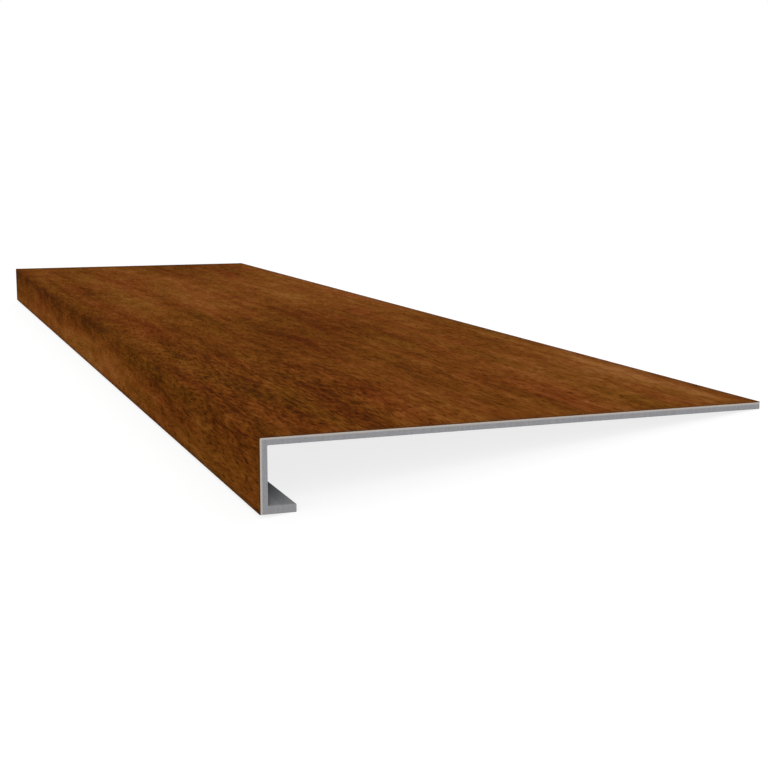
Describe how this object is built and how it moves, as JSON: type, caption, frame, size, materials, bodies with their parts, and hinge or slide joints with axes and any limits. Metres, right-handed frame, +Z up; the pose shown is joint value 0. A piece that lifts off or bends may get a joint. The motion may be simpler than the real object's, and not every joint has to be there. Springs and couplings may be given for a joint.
{
  "type": "stair tread",
  "caption": "Rigid vinyl overlay stair tread: a thin wood-print board with a square drop nose and a short return that hooks under an old step.",
  "frame": {"origin": "on the floor, at the bottom centre of the lying tread's box", "axes": "+X along the tread's length, +Y from the nose to the back edge, +Z up. The tread lies unheld on its return's free edge and on its lower back edge, so its walking face falls 7.28 degrees towards +Y; turning it by +7.28 degrees about +X brings it level, as laid on a step"},
  "size_m": [1.1938, 0.3108, 0.0434],
  "materials": {
    "grey_vinyl": "matte",
    "wood_print_film": "matte"
  },
  "bodies": {
    "root": {"vinyl_core": "grey_vinyl", "wood_film": "wood_print_film"}
  },
  "joints": []
}
